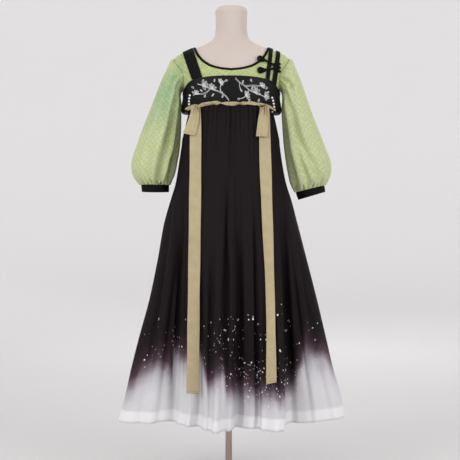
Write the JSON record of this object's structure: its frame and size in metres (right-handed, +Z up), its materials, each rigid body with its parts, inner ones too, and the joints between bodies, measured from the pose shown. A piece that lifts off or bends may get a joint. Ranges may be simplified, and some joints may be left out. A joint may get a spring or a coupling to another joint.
{
  "type": "two-piece skirt set on a limbless dress form",
  "caption": "Green puff-sleeved blouse under a black strapped chest dress with beige ribbons and a hem that fades to white, worn by a limbless dress form on a round foot.",
  "frame": {"origin": "middle of the stand's underside, on the axis of its pole", "axes": "+Z up along the pole, the garment's front faces -Y, the wearer's left is +X"},
  "size_m": [0.753, 0.4717, 1.59],
  "materials": {
    "form_cover": "matt fabric cover over a hard shell",
    "pole_metal": "satin",
    "foot_paint": "satin",
    "green_jacquard": "light jacquard with a fine diagonal lattice",
    "black_satin": "soft satin with white embroidery",
    "black_trim": "matt twill",
    "beige_ribbon": "soft matt ribbon",
    "chiffon": "matt chiffon, black fading to white at the hem"
  },
  "bodies": {
    "root": {"form_torso": "form_cover", "form_pole": "pole_metal", "form_foot": "foot_paint", "blouse_front": "green_jacquard", "blouse_back": "green_jacquard", "sleeve_left": "green_jacquard", "sleeve_right": "green_jacquard", "cuff_left": "black_trim", "cuff_right": "black_trim", "neck_binding": "black_trim", "chest_band_front": "black_satin", "chest_band_back": "black_satin", "strap_right_wide": "black_trim", "strap_left_inner": "black_trim", "strap_left_outer": "black_trim", "frog_upper_loop": "black_trim", "frog_upper_knot": "black_trim", "frog_lower_loop": "black_trim", "frog_lower_knot": "black_trim", "underbust_ribbon": "beige_ribbon", "ribbon_right_long": "beige_ribbon", "ribbon_right_tail": "beige_ribbon", "ribbon_left_long": "beige_ribbon", "ribbon_left_tail": "beige_ribbon", "skirt_front": "chiffon", "skirt_back": "chiffon"}
  },
  "joints": []
}
